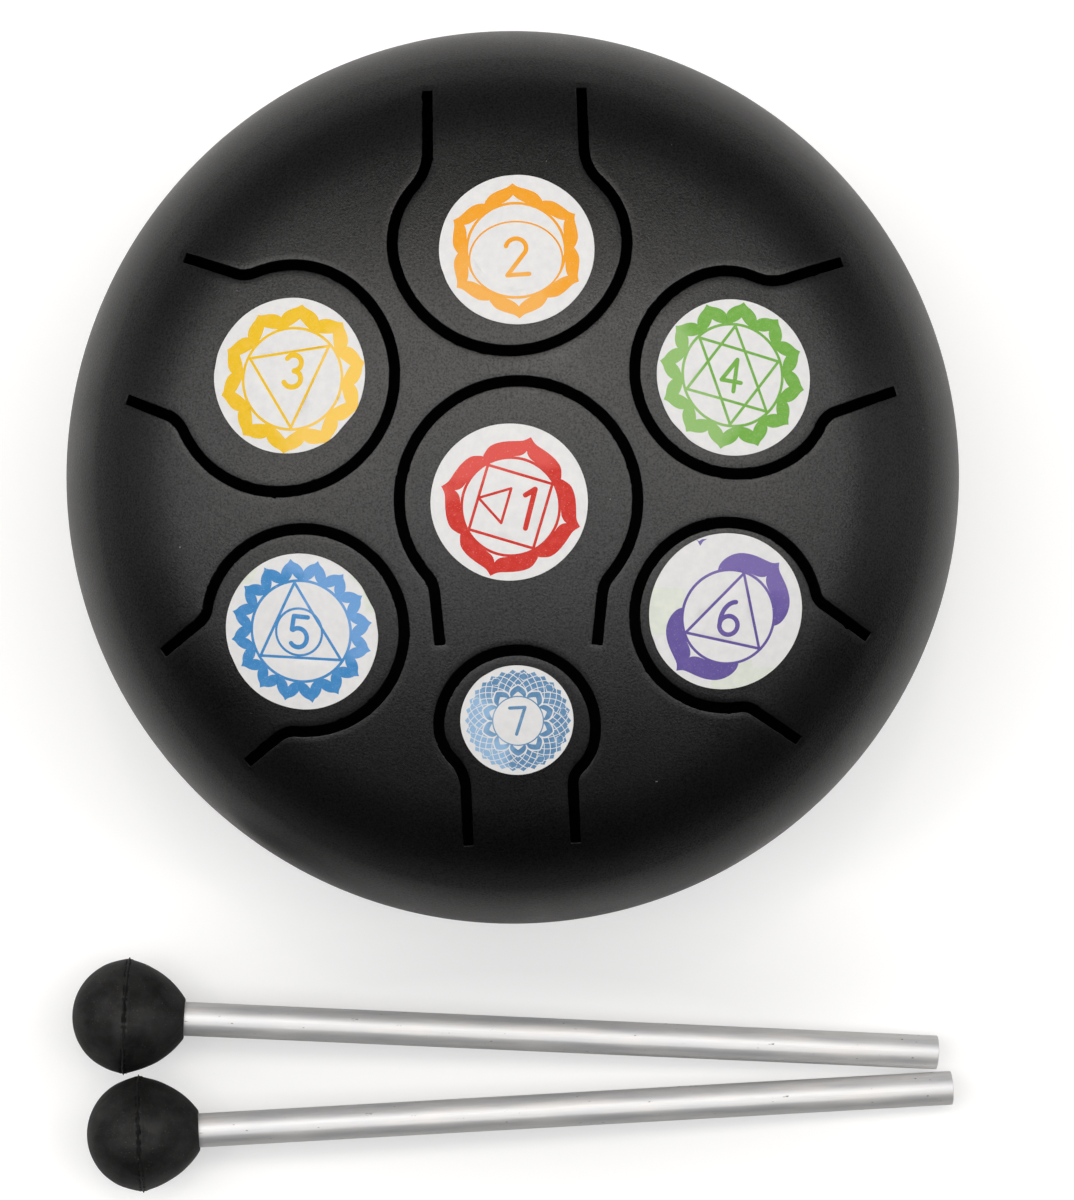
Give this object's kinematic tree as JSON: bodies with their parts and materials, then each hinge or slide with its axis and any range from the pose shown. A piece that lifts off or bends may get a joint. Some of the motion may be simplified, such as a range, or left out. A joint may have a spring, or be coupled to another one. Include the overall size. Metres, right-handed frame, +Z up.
{
  "type": "steel tongue drum",
  "caption": "Round steel tongue drum with keyhole-shaped slots, lotus stickers on its tongues, rubber feet and a pair of rubber-headed mallets.",
  "frame": {"origin": "on the surface that the drum and mallets rest on, under the middle of the set's box", "axes": "+Z up along the drum's axis, +Y away from the mallets, across both to the far rim"},
  "size_m": [0.1564, 0.2008, 0.085],
  "materials": {
    "shell_coat": "matt black powder coat with a fine grain",
    "weld_coat": "the same coat over a ground weld bead",
    "print_orange": "white paper sticker with a orange lotus print",
    "print_yellow": "white paper sticker with a yellow lotus print",
    "print_green": "white paper sticker with a green lotus print",
    "print_red": "white paper sticker with a red lotus print",
    "print_violet": "white paper sticker with a violet lotus print",
    "print_blue": "white paper sticker with a blue lotus print",
    "print_light_blue": "white paper sticker with a light blue lotus print",
    "foot_rubber": "black moulded rubber",
    "adhesive": "clear acrylic glue disc",
    "tube_aluminium": "drawn aluminium tube, satin, lightly scratched",
    "head_rubber": "matt black moulded rubber with a parting line"
  },
  "bodies": {
    "drum": {"top_shell": "shell_coat", "bottom_shell": "shell_coat", "rim_weld": "weld_coat", "sticker_orange": "print_orange", "sticker_yellow": "print_yellow", "sticker_green": "print_green", "sticker_red": "print_red", "sticker_violet": "print_violet", "sticker_blue": "print_blue", "sticker_light_blue": "print_light_blue", "foot_1": "foot_rubber", "foot_2": "foot_rubber", "foot_3": "foot_rubber", "foot_1_adhesive": "adhesive", "foot_2_adhesive": "adhesive", "foot_3_adhesive": "adhesive"},
    "mallet_1": {"mallet_1_tube": "tube_aluminium", "mallet_1_head": "head_rubber"},
    "mallet_2": {"mallet_2_tube": "tube_aluminium", "mallet_2_head": "head_rubber"}
  },
  "joints": [
    {"name": "mallet_1_lift", "type": "slide", "parent": "drum", "child": "mallet_1", "axis": [0, 0, 1], "range_m": [0, 0.12]},
    {"name": "mallet_2_lift", "type": "slide", "parent": "drum", "child": "mallet_2", "axis": [0, 0, 1], "range_m": [0, 0.12]}
  ]
}
